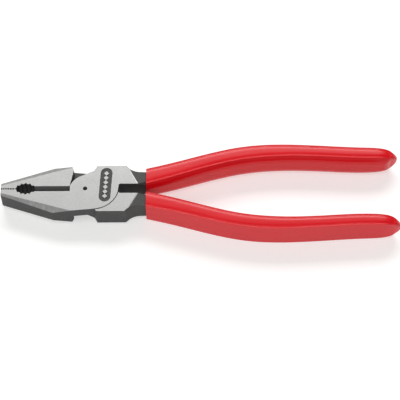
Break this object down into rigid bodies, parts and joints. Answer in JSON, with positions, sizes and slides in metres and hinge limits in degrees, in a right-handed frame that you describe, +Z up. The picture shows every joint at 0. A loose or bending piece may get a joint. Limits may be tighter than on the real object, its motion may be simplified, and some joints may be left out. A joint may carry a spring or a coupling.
{
  "type": "combination pliers",
  "caption": "Combination pliers with serrated tip jaws, oval pipe grip, side cutters and a riveted lap joint, on two dipped handles.",
  "frame": {"origin": "under the middle of the tool, on the surface it lies on", "axes": "+X towards the handle ends, +Z up along the pivot's axis, the closed jaws meet on the plane y = 0"},
  "size_m": [0.18, 0.0434, 0.0142],
  "materials": {
    "forged_steel": "ground satin faces on a dark phosphated forging",
    "rivet_steel": "ground flush, satin",
    "dipped_plastic": "smooth dipped vinyl, glossy"
  },
  "bodies": {
    "rear": {"rear_lever": "forged_steel", "lower_grip": "dipped_plastic", "pivot_rivet": "rivet_steel"},
    "front": {"front_lever": "forged_steel", "upper_grip": "dipped_plastic"}
  },
  "joints": [
    {"name": "pivot", "type": "hinge", "parent": "rear", "child": "front", "pos_m": [-0.0519, 0, 0.0071], "axis": [0, 0, 1], "range_deg": [0, 38]}
  ]
}
